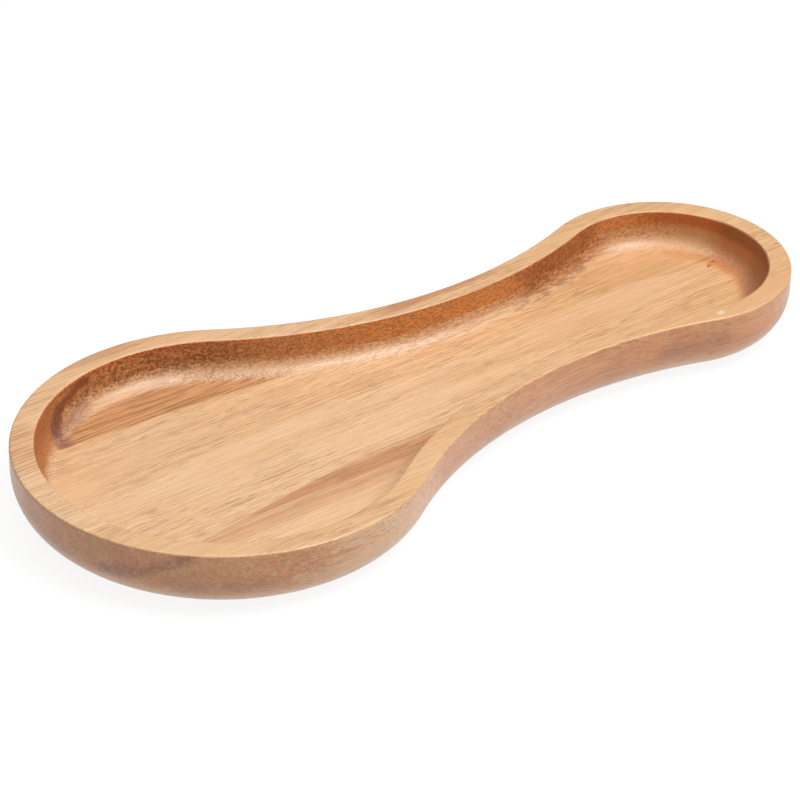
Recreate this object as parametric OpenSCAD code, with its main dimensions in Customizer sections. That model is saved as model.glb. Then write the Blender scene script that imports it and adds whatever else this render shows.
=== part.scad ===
// Wooden spoon rest: a low tray in a spoon outline, carved from two boards glued edge to edge.
// Millimetres, +Z up, large end at -X, small end at +X, front at -Y.

/* [Outline] */
// Length from the tip of the large end to the tip of the small end
overall_length = 254; // [210:1:310]
// Width of the large round end
bowl_width = 114.4; // [95:0.2:140]
// Width of the small round end
small_end_width = 72.8; // [60:0.2:90]
// Width at the narrowest place of the waist
waist_width = 53.4; // [42:0.2:66]

/* [Section] */
// Height from the table to the rim
height = 19.4; // [16:0.1:26]
// Depth of the recess below the rim
recess_depth = 11; // [8:0.1:13.5]
// Width of the flat rim
rim_width = 6.8; // [5:0.1:9]
// Radius where the floor turns up into the inner wall
cove_radius = 5.6; // [3:0.1:7]
// Radius of the underside where it turns up into the outer wall
bottom_round = 13; // [8:0.1:16]
// Rounding of the two rim edges
rim_ease = 0.7; // [0.3:0.05:1.2]

/* [Boards] */
// Distance of the glue line in front of the centre line
glue_line = 16; // [6:0.5:18]

/* [Hidden] */
$fn = 96;

bowl_radius = bowl_width / 2;
small_end_radius = small_end_width / 2;
floor_thickness = height - recess_depth;

// Centres of the two round ends on the centre line
bowl_x = bowl_radius - overall_length / 2;
small_x = overall_length / 2 - small_end_radius;
spacing = small_x - bowl_x;

// Radius of the waist arc that touches both round ends and leaves the waist width between its sides
half_waist = waist_width / 2;
end_step = bowl_radius - small_end_radius;
end_term = spacing * spacing + end_step * (bowl_radius + small_end_radius);
waist_term = 4 * spacing * spacing * (bowl_radius - half_waist);
linear_term = waist_term - 2 * end_term * end_step;
fixed_term = end_term * end_term - waist_term * (bowl_radius + half_waist);
root_term = sqrt(linear_term * linear_term - 4 * end_step * end_step * fixed_term);
waist_radius = fixed_term / (linear_term + root_term);

// Centre of the waist arc
waist_y = half_waist + waist_radius;
waist_x = bowl_x + sqrt((bowl_radius + waist_radius) * (bowl_radius + waist_radius) - waist_y * waist_y);

// Outline points that the four sweeps share: end centres and waist centres
bowl_centre = [bowl_x, 0];
small_centre = [small_x, 0];
rear_waist = [waist_x, waist_y];
front_waist = [waist_x, -waist_y];

pale_wood = [0.80, 0.62, 0.42];
red_wood = [0.74, 0.53, 0.35];

// What is cut away outside a rounded corner at the origin, with the wood in the first quadrant
module corner_waste(radius) {
    difference() {
        translate([-1, -1])
            square(radius + 1);
        translate([radius, radius])
            circle(r = radius);
    }
}

// Everything cut away from the blank in section: x runs inward from the outer wall, y up from the table
module section_waste(reach) {
    corner_waste(bottom_round);
    translate([0, height])
        mirror([0, 1])
            corner_waste(rim_ease);
    translate([rim_width, height])
        rotate(180)
            corner_waste(rim_ease);
    difference() {
        translate([rim_width, floor_thickness])
            square([reach, height]);
        translate([rim_width, floor_thickness])
            corner_waste(cove_radius);
    }
}

// Wall and floor in section
module tray_section(reach) {
    difference() {
        square([reach, height]);
        section_waste(reach);
    }
}

// Moves to a point in whole millimetres and then the rest, which keeps neighbouring sweeps in touch
module place(point) {
    whole = [floor(point[0]), floor(point[1])];
    translate([whole[0], whole[1], 0])
        translate([point[0] - whole[0], point[1] - whole[1], 0])
            children();
}

// The part of a sweep that belongs to one stretch of the outline
module stretch(limits) {
    intersection() {
        translate([0, 0, -1])
            linear_extrude(height = height + 2)
                polygon(limits);
        children();
    }
}

// Round end: the section swept about the end's own centre
module round_end(centre, radius, far_x) {
    stretch([centre, rear_waist, [far_x, waist_y], [far_x, -waist_y], front_waist])
        place(centre)
            rotate_extrude()
                intersection() {
                    square([overall_length, height]);
                    place([radius, 0])
                        mirror([1, 0])
                            tray_section(radius + 1);
                }
}

// Side of the waist: the same section swept about the waist centre
module waist_side(centre) {
    stretch([centre, bowl_centre, small_centre])
        place(centre)
            rotate_extrude()
                place([waist_radius, 0])
                    tray_section(bowl_radius + 1);
}

// The whole tray as it leaves the router
module tray() {
    union() {
        round_end(bowl_centre, bowl_radius, -overall_length);
        waist_side(rear_waist);
        waist_side(front_waist);
        round_end(small_centre, small_end_radius, overall_length);
    }
}

// Part of the tray between two limits across its width
module board(y_from, y_to) {
    intersection() {
        tray();
        translate([-overall_length, y_from, -1])
            cube([2 * overall_length, y_to - y_from, height + 2]);
    }
}

module rear_board() {
    color(pale_wood)
        board(-glue_line, bowl_width);
}

module front_board() {
    color(red_wood)
        board(-bowl_width, -glue_line);
}

rear_board();
front_board();
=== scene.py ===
from math import atan2, cos, pi, radians, sin, sqrt

import bmesh
import bpy
from mathutils import Matrix, Vector


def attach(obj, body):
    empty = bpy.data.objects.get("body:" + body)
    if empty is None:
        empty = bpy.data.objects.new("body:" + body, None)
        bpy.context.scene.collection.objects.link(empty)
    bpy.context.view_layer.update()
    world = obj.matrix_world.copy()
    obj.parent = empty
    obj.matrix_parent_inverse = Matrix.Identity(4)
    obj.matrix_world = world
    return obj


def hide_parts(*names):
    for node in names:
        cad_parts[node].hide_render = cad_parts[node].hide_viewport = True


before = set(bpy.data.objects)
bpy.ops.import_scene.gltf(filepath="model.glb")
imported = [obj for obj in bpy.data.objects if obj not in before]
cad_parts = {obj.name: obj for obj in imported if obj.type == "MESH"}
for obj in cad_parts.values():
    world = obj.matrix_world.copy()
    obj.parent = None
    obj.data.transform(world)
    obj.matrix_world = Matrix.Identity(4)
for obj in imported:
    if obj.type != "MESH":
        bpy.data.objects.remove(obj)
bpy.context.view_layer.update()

MM_PER_METRE = 1000.0

# Sizes of the tray in millimetres
LENGTH = 254.0
BOWL_RADIUS = 57.2
SMALL_RADIUS = 36.4
HALF_WAIST = 26.7
HEIGHT = 19.4
RECESS_DEPTH = 11.0
RIM_WIDTH = 6.8
COVE_RADIUS = 5.6
BOTTOM_ROUND = 13.0
RIM_EASE = 0.7
GLUE_LINE = -16.0
FLOOR_Z = HEIGHT - RECESS_DEPTH

# Mesh steps: length of a step along the outline, then counts over the stretches of the section
OUTLINE_STEP = 1.4
FEWEST_ARC_STEPS = 8
BOTTOM_STEPS = 24
WALL_STEPS = 6
EASE_STEPS = 6
RIM_STEPS = 4
COVE_STEPS = 18

# Narrow level bands beside the curves, which keep the shading of the underside and floor flat
UNDERSIDE_BAND = 2.4
FLOOR_BAND = 1.2

# Camera: place, lens and roll found by fitting the tray's edges
CAMERA_AZIMUTH = -39.95
CAMERA_HEIGHT_ANGLE = 31.72
CAMERA_ROLL = 1.42
CAMERA_DISTANCE = 0.957
CAMERA_LENS = 153.3
CAMERA_SENSOR = 36.0
CAMERA_SHIFT = (-0.0319, 0.0186)
CAMERA_CLIP = (0.05, 20.0)

# Lights: place and size in metres, power in watts
KEY_PLACE = (0.36, -0.55, 1.12)
KEY_SIZE = (0.75, 0.60)
KEY_POWER = 11.5
TOP_PLACE = (0.0, 0.10, 1.50)
TOP_SIZE = (1.80, 1.80)
TOP_POWER = 14.0
LIGHT_TARGET = (0, 0, 0)
WORLD_STRENGTH = 0.16

# Oiled finish
ROUGHNESS = 0.45
SPECULAR = 0.50
COAT = 0.60
COAT_ROUGHNESS = 0.33
BUMP_STRENGTH = 0.30
BUMP_DISTANCE = 0.0003

# Shift of the grain in each board, so that the two boards don't match
REAR_SHIFT = (0.0, 0.0, 0.0)
FRONT_SHIFT = (410.0, 23.0, 11.0)


def rgb(r, g, b):
    return (r, g, b, 1.0)


# Wood tones
PALE = rgb(0.91, 0.605, 0.36)
TAN = rgb(0.75, 0.405, 0.17)
ORANGE = rgb(0.70, 0.315, 0.11)
WALL_BROWN = rgb(0.62, 0.14, 0.008)
WALL_ORANGE = rgb(0.82, 0.315, 0.075)
RED_BROWN = rgb(0.60, 0.265, 0.115)
PINK_BROWN = rgb(0.72, 0.275, 0.105)
DARK_BROWN = rgb(0.25, 0.09, 0.025)
DEEP_BROWN = rgb(0.19, 0.03, 0.0)
PURPLE_BROWN = rgb(0.23, 0.085, 0.065)
PORE = rgb(0.36, 0.15, 0.05)
CHALK = rgb(0.88, 0.80, 0.70)

# Table: what it gives back to the wood, how strongly it takes shadow, its own white, and its place
TABLE_BOUNCE = rgb(0.70, 0.70, 0.70)
TABLE_SHADOW = rgb(0.14, 0.14, 0.14)
TABLE_WHITE = 0.90
TABLE_HALF = 4.0
TABLE_Z = -0.0002


def arc(centre, radius, start, end, inward):
    """Points on an arc with the direction that leads into the tray, without the last point."""
    steps = max(FEWEST_ARC_STEPS, int(abs(end - start) * radius / OUTLINE_STEP))
    found = []
    for i in range(steps):
        turn = start + (end - start) * i / steps
        out = Vector((cos(turn), sin(turn)))
        found.append((Vector(centre) + radius * out, inward * out))
    return found


def waist_arc(bowl_x, small_x):
    """Centre and radius of the rear waist arc, which touches both round ends."""
    spacing = small_x - bowl_x
    step = BOWL_RADIUS - SMALL_RADIUS
    end_term = spacing ** 2 + step * (BOWL_RADIUS + SMALL_RADIUS)
    waist_term = 4 * spacing ** 2 * (BOWL_RADIUS - HALF_WAIST)
    linear = waist_term - 2 * end_term * step
    fixed = end_term ** 2 - waist_term * (BOWL_RADIUS + HALF_WAIST)
    radius = fixed / (linear + sqrt(linear ** 2 - 4 * step ** 2 * fixed))
    y = HALF_WAIST + radius
    return bowl_x + sqrt((BOWL_RADIUS + radius) ** 2 - y ** 2), y, radius


def outline():
    """The tray's outline, once round, with the inward direction at each point."""
    bowl_x = BOWL_RADIUS - LENGTH / 2
    small_x = LENGTH / 2 - SMALL_RADIUS
    wx, wy, wr = waist_arc(bowl_x, small_x)
    at_bowl = atan2(wy, wx - bowl_x)
    at_small = atan2(wy, wx - small_x)
    return (
        arc((bowl_x, 0), BOWL_RADIUS, at_bowl, 2 * pi - at_bowl, -1)
        + arc((wx, -wy), wr, pi - at_bowl, pi - at_small, 1)
        + arc((small_x, 0), SMALL_RADIUS, -at_small, at_small, -1)
        + arc((wx, wy), wr, pi + at_small, pi + at_bowl, 1)
    )


def corner(centre, radius, start, end, steps):
    """Points of a rounded corner in section."""
    return [
        (centre[0] + radius * cos(radians(start + (end - start) * i / steps)),
         centre[1] + radius * sin(radians(start + (end - start) * i / steps)))
        for i in range(steps + 1)
    ]


def section():
    """The wall in section, from the underside over the rim to the floor: distance inward, height."""
    top = HEIGHT - RIM_EASE
    foot = FLOOR_Z + COVE_RADIUS
    flat = RIM_WIDTH - 2 * RIM_EASE
    points = [(BOTTOM_ROUND + UNDERSIDE_BAND, 0.0)]
    points += corner((BOTTOM_ROUND, BOTTOM_ROUND), BOTTOM_ROUND, 270, 180, BOTTOM_STEPS)
    points += [(0.0, BOTTOM_ROUND + (top - BOTTOM_ROUND) * i / WALL_STEPS) for i in range(1, WALL_STEPS)]
    points += corner((RIM_EASE, top), RIM_EASE, 180, 90, EASE_STEPS)
    points += [(RIM_EASE + flat * i / RIM_STEPS, HEIGHT) for i in range(1, RIM_STEPS)]
    points += corner((RIM_WIDTH - RIM_EASE, top), RIM_EASE, 90, 0, EASE_STEPS)
    points += [(RIM_WIDTH, top + (foot - top) * i / WALL_STEPS) for i in range(1, WALL_STEPS)]
    points += corner((RIM_WIDTH + COVE_RADIUS, foot), COVE_RADIUS, 180, 270, COVE_STEPS)
    points += [(RIM_WIDTH + COVE_RADIUS + FLOOR_BAND, FLOOR_Z)]
    return points


def tray_mesh():
    """The whole tray as one closed surface in metres."""
    profile = section()
    mesh = bmesh.new()
    grid = []
    for place, inward in outline():
        column = []
        for depth, z in profile:
            p = place + inward * depth
            column.append(mesh.verts.new((p.x / MM_PER_METRE, p.y / MM_PER_METRE, z / MM_PER_METRE)))
        grid.append(column)
    for a, b in zip(grid, grid[1:] + grid[:1]):
        for i in range(len(profile) - 1):
            mesh.faces.new((a[i], b[i], b[i + 1], a[i + 1]))
    mesh.faces.new([column[-1] for column in grid])
    mesh.faces.new([column[0] for column in reversed(grid)])
    bmesh.ops.recalc_face_normals(mesh, faces=mesh.faces)
    return mesh


def board(name, keep_rear):
    """One board: the tray cut at the glue line, with the cut closed."""
    mesh = tray_mesh()
    everything = mesh.verts[:] + mesh.edges[:] + mesh.faces[:]
    cut = bmesh.ops.bisect_plane(
        mesh, geom=everything, dist=1e-7, plane_co=(0, GLUE_LINE / MM_PER_METRE, 0), plane_no=(0, 1, 0),
        clear_inner=keep_rear, clear_outer=not keep_rear,
    )
    edges = [e for e in cut["geom_cut"] if isinstance(e, bmesh.types.BMEdge)]
    bmesh.ops.edgeloop_fill(mesh, edges=edges)
    for face in mesh.faces:
        face.smooth = True
    for edge in edges:
        edge.smooth = False
    data = bpy.data.meshes.new(name)
    mesh.to_mesh(data)
    mesh.free()
    made = bpy.data.objects.new(name, data)
    bpy.context.scene.collection.objects.link(made)
    return made


class Graph:
    """Short ways to build a material's nodes."""

    def __init__(self, material):
        material.use_nodes = True
        self.tree = material.node_tree
        self.tree.nodes.clear()

    def node(self, kind, **settings):
        made = self.tree.nodes.new(kind)
        for key, value in settings.items():
            setattr(made, key, value)
        return made

    def feed(self, socket, value):
        if isinstance(value, bpy.types.NodeSocket):
            self.tree.links.new(value, socket)
        else:
            socket.default_value = value

    def feed_all(self, made, **values):
        """Feeds inputs by name, with an underscore for a space."""
        for key, value in values.items():
            self.feed(made.inputs[key.replace("_", " ")], value)

    def math(self, operation, a, b=0.0, clamp=False):
        made = self.node("ShaderNodeMath", operation=operation, use_clamp=clamp)
        self.feed(made.inputs[0], a)
        self.feed(made.inputs[1], b)
        return made.outputs[0]

    def vector(self, operation, a, b=(0.0, 0.0, 0.0), scale=None):
        made = self.node("ShaderNodeVectorMath", operation=operation)
        self.feed(made.inputs[0], a)
        self.feed(made.inputs[1], b)
        if scale is not None:
            self.feed(made.inputs["Scale"], scale)
        return made.outputs["Value" if operation in ("DOT_PRODUCT", "DISTANCE") else "Vector"]

    def rise(self, value, low, high, out_low=0.0, out_high=1.0):
        """Smooth step from one output to the other while the value runs from low to high."""
        made = self.node("ShaderNodeMapRange", interpolation_type="SMOOTHSTEP")
        self.feed_all(made, Value=value, From_Min=low, From_Max=high, To_Min=out_low, To_Max=out_high)
        return made.outputs["Result"]

    def band(self, value, a, b, c, d):
        """Rises from a to b and falls from c to d."""
        return self.math("MULTIPLY", self.rise(value, a, b), self.rise(value, c, d, 1.0, 0.0))

    def every(self, *values):
        """Product of all values."""
        found = values[0]
        for value in values[1:]:
            found = self.math("MULTIPLY", found, value)
        return found

    def add_share(self, value, other, share, clamp=False):
        """A value with a share of another one added."""
        return self.math("ADD", value, self.math("MULTIPLY", other, share), clamp=clamp)

    def noise(self, vector, scale, detail=2.0, roughness=0.5, distortion=0.0):
        made = self.node("ShaderNodeTexNoise")
        self.feed(made.inputs["Vector"], self.vector("MULTIPLY", vector, scale))
        self.feed_all(made, Scale=1.0, Detail=detail, Roughness=roughness, Distortion=distortion)
        return made.outputs["Fac"]

    def mix(self, factor, a, b):
        made = self.node("ShaderNodeMix", data_type="RGBA", blend_type="MIX")
        self.feed(made.inputs[0], factor)
        self.feed(made.inputs[6], a)
        self.feed(made.inputs[7], b)
        return made.outputs[2]


class Wood:
    """Where a point lies in the board, in millimetres, and how its surface runs to the grain."""

    def __init__(self, g, shift):
        coords = g.node("ShaderNodeTexCoord")
        self.place = g.vector("SCALE", coords.outputs["Object"], scale=MM_PER_METRE)
        self.grain = g.vector("ADD", self.place, shift)
        place = g.node("ShaderNodeSeparateXYZ")
        g.feed(place.inputs[0], self.place)
        normal = g.node("ShaderNodeSeparateXYZ")
        g.feed(normal.inputs[0], coords.outputs["Normal"])
        self.x, self.y, self.z = place.outputs[0], place.outputs[1], place.outputs[2]
        nx, ny, nz = normal.outputs[0], normal.outputs[1], normal.outputs[2]
        self.steep = g.rise(g.math("ABSOLUTE", nz), 0.25, 0.85, 1.0, 0.0)
        self.end = g.math("MULTIPLY", nx, nx)
        self.jitter = g.math("SUBTRACT", g.noise(self.grain, (0.12, 0.9, 0.9), 4.0, 0.75), 0.5)
        self.growth = g.rise(g.noise(self.grain, (0.007, 0.42, 0.42), 3.0, 0.6, 0.1), 0.38, 0.72)
        self.fibre = g.rise(g.noise(self.grain, (0.028, 2.40, 2.40), 2.0, 0.6), 0.36, 0.66)
        self.find_walls(g, nx, ny)

    def find_walls(self, g, nx, ny):
        """Masks of the inner wall, the outer wall and the stretches of the inner wall with warmer wood; at the
        small end the wall mask starts higher as painted highlight.
        """
        facing = g.math("ADD", g.every(nx, self.x, 0.3), g.math("MULTIPLY", ny, self.y))
        under_rim = g.rise(self.z, 19.0, 19.35, 1.0, 0.0)
        self.inward = g.math("MULTIPLY", g.rise(facing, -6.0, 2.0, 1.0, 0.0), under_rim)
        self.inner = g.math("MULTIPLY", self.steep, self.inward)
        self.outer = g.math("MULTIPLY", self.steep, g.rise(facing, -2.0, 6.0))
        waist = g.band(self.x, -48.0, -28.0, 46.0, 60.0)
        small_end = g.band(self.x, 84.0, 92.0, 100.0, 110.0)
        self.warm = g.math("ADD", waist, small_end)
        foot = g.add_share(self.z, self.jitter, 5.0)
        # Painted highlight: at the small end the dark wall tone starts higher, so the lower wall stays light where
        # the cove's highlight reaches up.
        foot = g.math("SUBTRACT", foot, g.rise(self.x, 84.0, 94.0, 0.0, 2.2))
        self.wall = g.math("MULTIPLY", self.inner, g.rise(foot, 11.8, 14.4))


def pattern(g, wood, scale, low, high, detail=2.0, roughness=0.6):
    """Noise along the grain, cut to a mask between two of its levels."""
    return g.rise(g.noise(wood.grain, scale, detail, roughness), low, high)


def stain(g, colour, tone, strength, *masks):
    """The colour with a tone laid over it where all masks allow."""
    return g.mix(g.every(*masks, strength), colour, tone)


def near(g, wood, start, end, core, edge):
    """Ragged streak along a straight line between two places: full within core, gone at edge."""
    along = Vector(end) - Vector(start)
    offset = g.vector("SUBTRACT", wood.place, start)
    share = g.vector("DOT_PRODUCT", offset, along / along.length_squared)
    share = g.math("MULTIPLY", share, 1.0, clamp=True)
    distance = g.vector("DISTANCE", offset, g.vector("SCALE", along, scale=share))
    return g.rise(g.add_share(distance, wood.jitter, 5.0), core, edge, 1.0, 0.0)


def even_wood(g, wood):
    """Wood without marks: broad bands, growth lines and fine fibre along the length."""
    broad = g.rise(g.noise(wood.grain, (0.004, 0.06, 0.06), 2.0, 0.5, 0.1), 0.35, 0.7)
    tone = g.add_share(g.math("MULTIPLY", broad, 0.30), wood.growth, 0.22)
    tone = g.add_share(tone, wood.fibre, 0.38)
    tone = g.add_share(tone, g.rise(wood.x, -30.0, 115.0), 0.25, clamp=True)
    return g.mix(tone, PALE, TAN)


def inner_walls(g, colour, wood):
    """Brown inner wall, orange at the waist and small end, milder in front, and painted shade on its upper edge.
    """
    colour = stain(g, colour, ORANGE, 0.45, wood.inner)
    depth = g.rise(wood.y, -16.0, 8.0, 0.55, 0.90)
    colour = stain(g, colour, WALL_BROWN, depth, wood.wall)
    colour = stain(g, colour, WALL_ORANGE, depth, wood.wall, wood.warm)
    # Painted shade: the rounded upper edge of the rear inner wall is darkened against the light it catches.
    shaded_top_edge = g.every(wood.inward, g.rise(wood.z, 18.5, 18.9), g.rise(wood.y, 4.0, 14.0))
    return stain(g, colour, WALL_BROWN, 0.60, shaded_top_edge)


def left_end_wall(g, colour, wood):
    """Darker wood with upright lines on the inner wall of the left end."""
    stretch = g.rise(g.add_share(wood.x, wood.jitter, 20.0), -105.0, -85.0, 1.0, 0.0)
    left = g.every(wood.inward, stretch, g.rise(wood.z, 8.4, 10.0), g.rise(wood.y, 3.0, 18.0))
    colour = stain(g, colour, WALL_BROWN, 0.75, left)
    colour = stain(g, colour, DARK_BROWN, 0.28, left)
    upright = pattern(g, wood, (0.25, 1.3, 0.25), 0.44, 0.58, 3.0, 0.7)
    return stain(g, colour, DARK_BROWN, 0.42, left, upright)


def right_end_wall(g, colour, wood):
    """Darker wood round the cove of the right end, with a purple tinge in front, and a dark band under the rim
    that is partly darker wood and partly painted shade.
    """
    x, y, z = wood.x, wood.y, wood.z
    level_place = g.vector("MULTIPLY", wood.place, (1.0, 1.0, 0.0))
    radius = g.vector("DISTANCE", level_place, (LENGTH / 2 - SMALL_RADIUS, 0.0, 0.0))
    ring = g.band(radius, 21.0, 24.8, 29.9, 30.3)
    right = g.every(ring, g.rise(x, 100.0, 110.0), g.band(y, -30.0, -20.0, 4.0, 12.0))
    foot_ring = g.band(radius, 21.0, 24.0, 25.4, 27.0)
    foot = g.every(foot_ring, g.rise(x, 100.0, 108.0), g.band(y, -6.0, 2.0, 14.0, 22.0))
    colour = stain(g, colour, ORANGE, 0.60, foot)
    colour = stain(g, colour, WALL_BROWN, 0.52, right)
    colour = stain(g, colour, PURPLE_BROWN, 0.30, right, g.rise(y, -13.0, -4.0, 1.0, 0.0))
    # Dark band on the upper wall: partly darker wood, partly painted shade under the rim, ending in a crisp lower
    # edge.
    return stain(g, colour, DARK_BROWN, 0.62, right, g.rise(z, 13.5, 16.0))


def outer_walls(g, colour, wood):
    """Pinkish brown outer wall with soft figure, dark streaks and hair lines."""
    figure = g.rise(g.noise(wood.grain, (0.018, 0.20, 0.20), 3.0, 0.6, 0.8), 0.35, 0.65, 0.70, 1.0)
    colour = stain(g, colour, PINK_BROWN, 0.90, figure, wood.outer)
    streaks = pattern(g, wood, (0.028, 1.5, 1.5), 0.50, 0.64)
    colour = stain(g, colour, DARK_BROWN, 0.28, streaks, wood.outer)
    hairs = pattern(g, wood, (0.06, 1.1, 1.1), 0.53, 0.59)
    return stain(g, colour, DARK_BROWN, 0.14, hairs, wood.outer)


def orange_band(g, colour, wood):
    """Orange band along the rear of the bowl floor, with dark lines, which fades up the wall and thins in the
    cove, partly paler wood and partly painted highlight.
    """
    x, y, z = wood.x, wood.y, wood.z
    below_rim = g.rise(z, 16.5, 18.8, 1.0, 0.1)
    run = g.math("MAXIMUM", g.math("ADD", x, 97.0), 0.0)
    bend = g.math("MULTIPLY", run, g.math("ADD", g.math("MULTIPLY", run, 0.0005), 0.045))
    side = g.add_share(g.math("ADD", y, bend), wood.jitter, 0.5)
    level = g.every(g.rise(side, 34.9, 35.7), g.rise(x, -45.0, 5.0, 1.0, 0.25), g.rise(z, 9.0, 12.0, 1.0, 0.0))
    soft = g.band(g.add_share(x, wood.jitter, 20.0), -114.0, -82.0, -45.0, 8.0)
    behind = g.math("ADD", level, g.math("MULTIPLY", soft, g.rise(z, 9.0, 12.0)))
    # Less orange and fewer dark lines in the cove: partly paler wood there, partly painted highlight where the
    # cove's highlight falls.
    cove = g.band(z, 8.4, 8.9, 11.5, 13.5)
    cove_relief_and_highlight = g.math("SUBTRACT", 1.0, g.math("MULTIPLY", cove, 0.65))
    colour = stain(g, colour, ORANGE, 0.85, behind, below_rim, cove_relief_and_highlight)
    dark_lines = pattern(g, wood, (0.024, 1.3, 1.3), 0.51, 0.58, 3.0, 0.7)
    colour = stain(g, colour, DARK_BROWN, 0.58, behind, below_rim, dark_lines, cove_relief_and_highlight)
    hairs = pattern(g, wood, (0.05, 0.9, 0.9), 0.54, 0.59)
    return stain(g, colour, DARK_BROWN, 0.45, behind, below_rim, hairs, cove_relief_and_highlight)


def rear_cove(g, colour, wood):
    """Warm cove and dark figure at the rear of the small end, and short teeth at the foot of the bowl's cove."""
    x, z = wood.x, wood.z
    clumps = pattern(g, wood, (0.13, 1.1, 1.1), 0.42, 0.56, 3.0, 0.7)
    figure = g.every(g.band(x, 44.0, 58.0, 86.0, 97.0), g.rise(z, 8.41, 9.2), clumps)
    warm_cove = g.every(g.band(x, 48.0, 58.0, 88.0, 98.0), g.band(z, 9.0, 10.5, 13.0, 15.0), wood.inward)
    colour = stain(g, colour, WALL_BROWN, 0.40, warm_cove)
    colour = stain(g, colour, DARK_BROWN, 0.62, figure, wood.inward)
    teeth = pattern(g, wood, (1.5, 1.0, 1.0), 0.48, 0.54)
    teeth = g.every(teeth, g.band(x, -54.0, -46.0, -34.0, -20.0), g.band(z, 8.42, 8.6, 9.2, 10.2))
    return stain(g, colour, DARK_BROWN, 0.40, teeth)


def purple_patch(g, colour, wood):
    """Purple-brown heartwood that runs down the left end of the rear wall and out into the cove."""
    grainy = g.rise(g.noise(wood.grain, (1.0, 1.8, 1.8), 3.0, 0.7), 0.38, 0.56, 0.35, 1.0)
    upper = near(g, wood, (-81.0, 49.2, 17.6), (-93.0, 44.8, 14.0), 0.4, 2.6)
    middle = near(g, wood, (-93.0, 44.8, 14.0), (-96.2, 41.6, 10.8), 1.2, 3.0)
    lower = near(g, wood, (-96.2, 41.6, 10.8), (-96.6, 38.2, 8.6), 1.0, 4.4)
    trail = near(g, wood, (-91.0, 43.2, 9.4), (-83.0, 47.2, 10.5), 0.8, 3.8)
    colour = stain(g, colour, PURPLE_BROWN, 0.58, trail, grainy)
    colour = stain(g, colour, DEEP_BROWN, 0.88, upper, g.rise(wood.z, 18.3, 18.9, 1.0, 0.0))
    colour = stain(g, colour, PURPLE_BROWN, 0.90, middle)
    colour = stain(g, colour, DEEP_BROWN, 0.50, middle)
    return stain(g, colour, PURPLE_BROWN, 0.95, lower, grainy)


def rear_rim(g, colour, wood):
    """Reddish grain on the rim: at the rear of the waist, at the left end and behind the bowl."""
    x, y = wood.x, wood.y
    on_rim = g.rise(wood.z, 18.6, 19.2)
    waist = g.every(g.band(y, 23.6, 24.8, 27.0, 28.4), g.band(x, -4.0, 12.0, 36.0, 54.0), on_rim)
    colour = stain(g, colour, RED_BROWN, 0.8, waist)
    left = g.every(g.rise(x, -112.0, -106.0, 1.0, 0.0), on_rim, g.rise(wood.fibre, 0.3, 0.8), g.rise(y, 8.0, 20.0))
    colour = stain(g, colour, RED_BROWN, 0.9, left)
    bowl = g.every(g.rise(y, 52.0, 54.5), g.band(x, -104.0, -92.0, -66.0, -50.0), on_rim)
    return stain(g, colour, RED_BROWN, 0.55, bowl)


def rear_marks(g, colour, wood):
    """Marks of the rear board, last a small knot on the floor of the small end."""
    colour = orange_band(g, colour, wood)
    colour = rear_cove(g, colour, wood)
    colour = purple_patch(g, colour, wood)
    colour = rear_rim(g, colour, wood)
    knot = near(g, wood, (111.6, 3.9, 8.4), (112.6, 4.3, 8.4), 0.1, 0.8)
    tail = near(g, wood, (114.3, 4.6, 8.4), (115.0, 4.9, 8.4), 0.0, 0.6)
    return stain(g, colour, DARK_BROWN, 0.95, g.math("MAXIMUM", knot, tail))


def reddish_streak(g, colour, wood):
    """Reddish streak along the glue line on the bowl floor, whose edge bends away at the left."""
    x, y = wood.x, wood.y
    along = g.band(x, -110.0, -92.0, -22.0, 14.0)
    drop = g.math("MULTIPLY", g.math("MINIMUM", g.math("ADD", x, 40.0), 0.0), 0.13)
    edge = g.add_share(g.math("SUBTRACT", y, drop), wood.jitter, 0.8)
    across = g.band(y, -34.0, -21.0, 0.0, 1.0)
    across = g.math("MULTIPLY", across, g.rise(edge, -17.0, -16.0, 1.0, 0.0))
    below_rim = g.rise(wood.z, 10.0, 14.0, 1.0, 0.2)
    colour = stain(g, colour, RED_BROWN, 0.85, along, across, g.rise(wood.growth, 0.0, 0.6, 0.45, 1.0), below_rim)
    dark_lines = pattern(g, wood, (0.030, 1.1, 1.1), 0.50, 0.62, 3.0, 0.7)
    colour = stain(g, colour, DARK_BROWN, 0.26, along, across, dark_lines, below_rim)
    hairs = pattern(g, wood, (0.05, 0.8, 0.8), 0.54, 0.60)
    return stain(g, colour, DARK_BROWN, 0.28, along, across, hairs, below_rim)


def front_marks(g, colour, wood):
    """Marks of the front board: streak, rim, pale and dark places on the outer wall, scuff on the rim."""
    colour = reddish_streak(g, colour, wood)
    colour = stain(g, colour, TAN, 0.35, g.rise(wood.z, 18.6, 19.2))
    ragged = g.add_share(wood.x, g.noise(wood.grain, (0.02, 0.5, 0.5), 3.0, 0.7), 60.0)
    pale_side = g.math("MULTIPLY", g.band(ragged, -64.0, -36.0, -22.0, 6.0), wood.outer)
    colour = stain(g, colour, PALE, 0.62, pale_side)
    heart = near(g, wood, (64.0, -29.5, 11.0), (80.0, -35.0, 12.5), 0.0, 5.0)
    colour = stain(g, colour, PURPLE_BROWN, 0.30, heart, wood.outer)
    scuff = near(g, wood, (81.6, -32.0, 19.4), (82.4, -31.8, 19.4), 0.2, 1.2)
    return stain(g, colour, CHALK, 0.7, scuff)


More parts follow.
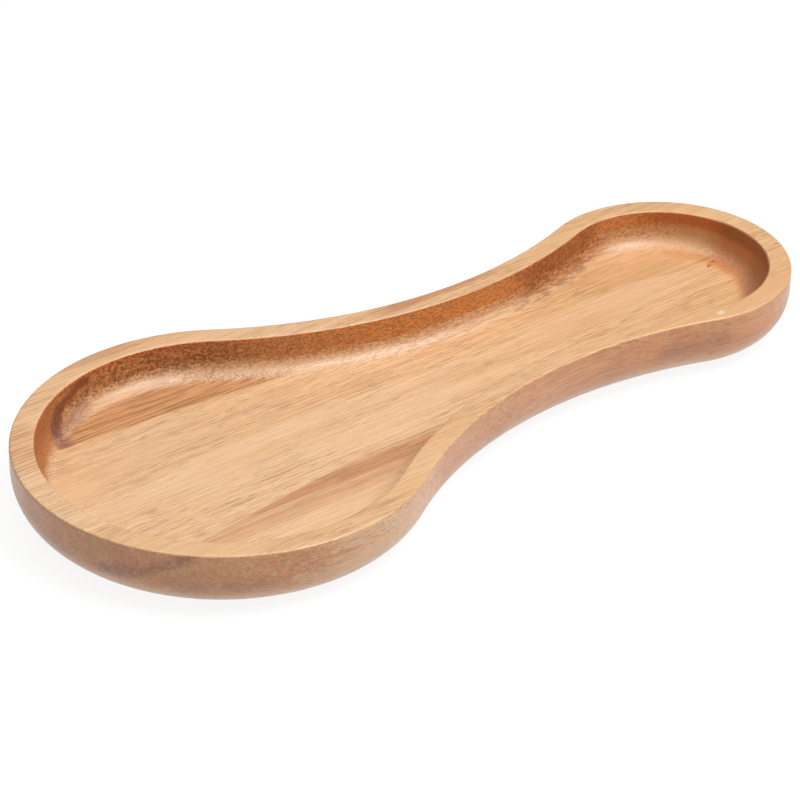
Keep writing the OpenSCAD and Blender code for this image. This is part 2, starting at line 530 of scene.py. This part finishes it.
def ring_streaks(g, colour, wood):
    """Dark growth ring on the outer wall of the bowl: level at the left end, then rising to the rim."""
    level = near(g, wood, (-127.0, 4.0, 10.3), (-122.5, -20.6, 9.8), 0.0, 2.6)
    heart = near(g, wood, (-122.5, -20.6, 9.8), (-118.8, -29.5, 12.0), 0.2, 3.6)
    rising = near(g, wood, (-118.8, -29.5, 12.0), (-109.9, -41.0, 18.8), 0.0, 2.8)
    low = near(g, wood, (-112.0, -38.0, 8.0), (-96.0, -50.0, 9.6), 0.0, 6.0)
    ragged = g.rise(g.noise(wood.grain, (0.06, 0.8, 0.8), 3.0, 0.7), 0.36, 0.60, 0.25, 1.0)
    colour = stain(g, colour, PURPLE_BROWN, 0.55, level, wood.outer, ragged)
    colour = stain(g, colour, PURPLE_BROWN, 0.75, g.math("MAXIMUM", heart, rising), wood.outer, ragged)
    return stain(g, colour, PURPLE_BROWN, 0.40, low, wood.outer, ragged)


def pores(g, wood):
    """Dark open pores: thin lines along the grain and dots where the grain ends."""
    thread = g.noise(wood.grain, (0.016, 1.0, 1.0), 1.0, 0.5)
    thread = g.math("ABSOLUTE", g.math("SUBTRACT", thread, 0.5))
    broken = pattern(g, wood, (0.05, 0.6, 0.6), 0.42, 0.58, 1.0, 0.5)
    thread = g.every(g.rise(thread, 0.005, 0.045, 1.0, 0.0), broken)
    long = g.math("MAXIMUM", thread, pattern(g, wood, (0.045, 3.2, 3.2), 0.56, 0.65, 1.0, 0.5))
    short = pattern(g, wood, (0.15, 3.2, 3.2), 0.59, 0.66, 1.0, 0.5)
    patch = g.rise(g.noise(wood.grain, (0.015, 0.09, 0.09), 1.0, 0.5), 0.36, 0.62, 0.35, 1.0)
    lines = g.math("MULTIPLY", g.math("MAXIMUM", g.math("MULTIPLY", long, 0.75), short), patch)
    dots = pattern(g, wood, (1.0, 2.4, 2.4), 0.48, 0.66)
    return g.math("MAXIMUM", lines, g.every(dots, wood.end, wood.steep, 0.5))


def wall_flecks(g, wood):
    """Dark flecks on the inner wall, fewer at both ends and in the warmer stretches."""
    flecks = pattern(g, wood, (0.9, 1.5, 1.5), 0.49, 0.54, 3.0, 0.7)
    away = g.band(g.add_share(wood.x, wood.jitter, 30.0), -112.0, -86.0, 100.0, 120.0)
    away = g.math("SUBTRACT", away, g.math("MULTIPLY", wood.warm, 0.4), clamp=True)
    return g.every(flecks, wood.inner, away)


def oiled_surface(g, colour, height):
    """Satin oiled wood with a fine relief."""
    shader = g.node("ShaderNodeBsdfPrincipled")
    g.feed(shader.inputs["Base Color"], colour)
    shader.inputs["Roughness"].default_value = ROUGHNESS
    shader.inputs["Specular IOR Level"].default_value = SPECULAR
    shader.inputs["Coat Weight"].default_value = COAT
    shader.inputs["Coat Roughness"].default_value = COAT_ROUGHNESS
    bump = g.node("ShaderNodeBump")
    bump.inputs["Strength"].default_value = BUMP_STRENGTH
    bump.inputs["Distance"].default_value = BUMP_DISTANCE
    g.feed(bump.inputs["Height"], height)
    g.feed(shader.inputs["Normal"], bump.outputs[0])
    out = g.node("ShaderNodeOutputMaterial")
    g.feed(out.inputs["Surface"], shader.outputs[0])


def wood_material(name, shift, marks):
    """Wood of one board: even wood, walls, the board's own marks, then pores over all of it."""
    material = bpy.data.materials.new(name)
    g = Graph(material)
    wood = Wood(g, shift)
    colour = even_wood(g, wood)
    for layer in (inner_walls, left_end_wall, right_end_wall, outer_walls, marks, ring_streaks):
        colour = layer(g, colour, wood)
    open_pores = pores(g, wood)
    flecks = wall_flecks(g, wood)
    colour = stain(g, colour, PORE, 0.65, open_pores)
    colour = stain(g, colour, DEEP_BROWN, 0.72, flecks)
    hollows = g.math("MAXIMUM", open_pores, flecks)
    oiled_surface(g, colour, g.math("SUBTRACT", g.math("MULTIPLY", wood.fibre, 0.5), hollows))
    return material


def look_from(place, x_axis, y_axis, z_axis):
    turned = Matrix((x_axis, y_axis, z_axis)).transposed().to_4x4()
    return Matrix.Translation(place) @ turned


def add_camera():
    azimuth, height, roll = radians(CAMERA_AZIMUTH), radians(CAMERA_HEIGHT_ANGLE), radians(CAMERA_ROLL)
    back = Vector((sin(azimuth) * cos(height), -cos(azimuth) * cos(height), sin(height)))
    right = (-back).cross(Vector((0, 0, 1))).normalized()
    up = right.cross(-back)
    data = bpy.data.cameras.new("camera")
    data.lens = CAMERA_LENS
    data.sensor_width = CAMERA_SENSOR
    data.shift_x, data.shift_y = CAMERA_SHIFT
    data.clip_start, data.clip_end = CAMERA_CLIP
    made = bpy.data.objects.new("camera", data)
    bpy.context.scene.collection.objects.link(made)
    made.matrix_world = look_from(
        back * CAMERA_DISTANCE, cos(roll) * right + sin(roll) * up, cos(roll) * up - sin(roll) * right, back)
    bpy.context.scene.camera = made


def add_light(name, place, size, power):
    data = bpy.data.lights.new(name, "AREA")
    data.shape = "RECTANGLE"
    data.size, data.size_y = size
    data.energy = power
    made = bpy.data.objects.new(name, data)
    bpy.context.scene.collection.objects.link(made)
    made.location = place
    made.rotation_euler = (Vector(LIGHT_TARGET) - Vector(place)).to_track_quat("-Z", "Y").to_euler()


def add_world():
    world = bpy.data.worlds.new("world")
    bpy.context.scene.world = world
    world.use_nodes = True
    sky = world.node_tree.nodes["Background"]
    sky.inputs["Color"].default_value = rgb(1.0, 1.0, 1.0)
    sky.inputs["Strength"].default_value = WORLD_STRENGTH


def table_material():
    """White for the camera and in reflections, and still darkened by the shadow."""
    material = bpy.data.materials.new("table")
    g = Graph(material)
    path = g.node("ShaderNodeLightPath")
    seen = g.math("MAXIMUM", path.outputs["Is Camera Ray"], path.outputs["Is Glossy Ray"])
    seen = g.math("MAXIMUM", seen, path.outputs["Is Transmission Ray"])
    diffuse = g.node("ShaderNodeBsdfDiffuse")
    g.feed(diffuse.inputs["Color"], g.mix(seen, TABLE_BOUNCE, TABLE_SHADOW))
    glow = g.node("ShaderNodeEmission")
    g.feed(glow.inputs["Strength"], g.math("MULTIPLY", seen, TABLE_WHITE))
    both = g.node("ShaderNodeAddShader")
    g.feed(both.inputs[0], diffuse.outputs[0])
    g.feed(both.inputs[1], glow.outputs[0])
    out = g.node("ShaderNodeOutputMaterial")
    g.feed(out.inputs["Surface"], both.outputs[0])
    return material


def add_floor():
    data = bpy.data.meshes.new("table")
    corners = [(x * TABLE_HALF, y * TABLE_HALF, 0) for x, y in ((-1, -1), (1, -1), (1, 1), (-1, 1))]
    data.from_pydata(corners, [], [(0, 1, 2, 3)])
    made = bpy.data.objects.new("table", data)
    made.location = (0, 0, TABLE_Z)
    data.materials.append(table_material())
    bpy.context.scene.collection.objects.link(made)


def add_boards():
    rear = board("rear_board_wood", True)
    rear.data.materials.append(wood_material("rear_wood", REAR_SHIFT, rear_marks))
    front = board("front_board_wood", False)
    front.data.materials.append(wood_material("front_wood", FRONT_SHIFT, front_marks))
    for made, node in ((rear, "rear_board"), (front, "front_board")):
        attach(made, "root")
        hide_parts(node)


bpy.context.scene.view_settings.view_transform = "Standard"
add_boards()
add_floor()
add_camera()
add_world()
add_light("key", KEY_PLACE, KEY_SIZE, KEY_POWER)
add_light("top", TOP_PLACE, TOP_SIZE, TOP_POWER)
